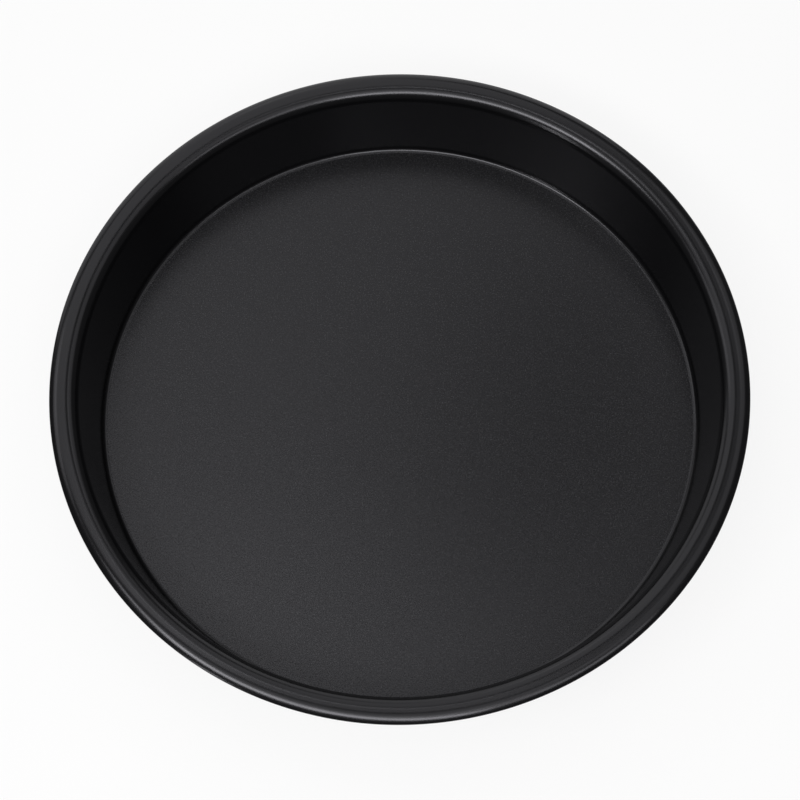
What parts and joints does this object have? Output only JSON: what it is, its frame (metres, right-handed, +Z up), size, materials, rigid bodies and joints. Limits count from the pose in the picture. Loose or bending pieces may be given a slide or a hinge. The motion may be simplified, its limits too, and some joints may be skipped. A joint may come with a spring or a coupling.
{
  "type": "microwave crisper pan",
  "caption": "Shallow round black non-stick pan with a leaning wall, a narrow flat rim with a rolled edge, a ferrite heating disc under its floor and small feet, for crisping food in a microwave oven.",
  "frame": {"origin": "on the plane that the feet stand on, below the centre of the pan", "axes": "+Z up, out of the pan's mouth, along its axis; +X to the right and +Y to the back as the picture shows it, with the feet at 45 degrees between them"},
  "size_m": [0.3, 0.3, 0.0467],
  "materials": {
    "nonstick_coat": "satin black non-stick coat, finely grained on the cooking floor, on pressed aluminium sheet",
    "ferrite_rubber": "matt black-grey ferrite-loaded silicone rubber with a fine moulded grain",
    "foot_silicone": "satin dark grey silicone"
  },
  "bodies": {
    "root": {"pan_body": "nonstick_coat", "ferrite_absorber": "ferrite_rubber", "foot_front_left": "foot_silicone", "foot_front_right": "foot_silicone", "foot_rear_left": "foot_silicone", "foot_rear_right": "foot_silicone"}
  },
  "joints": []
}
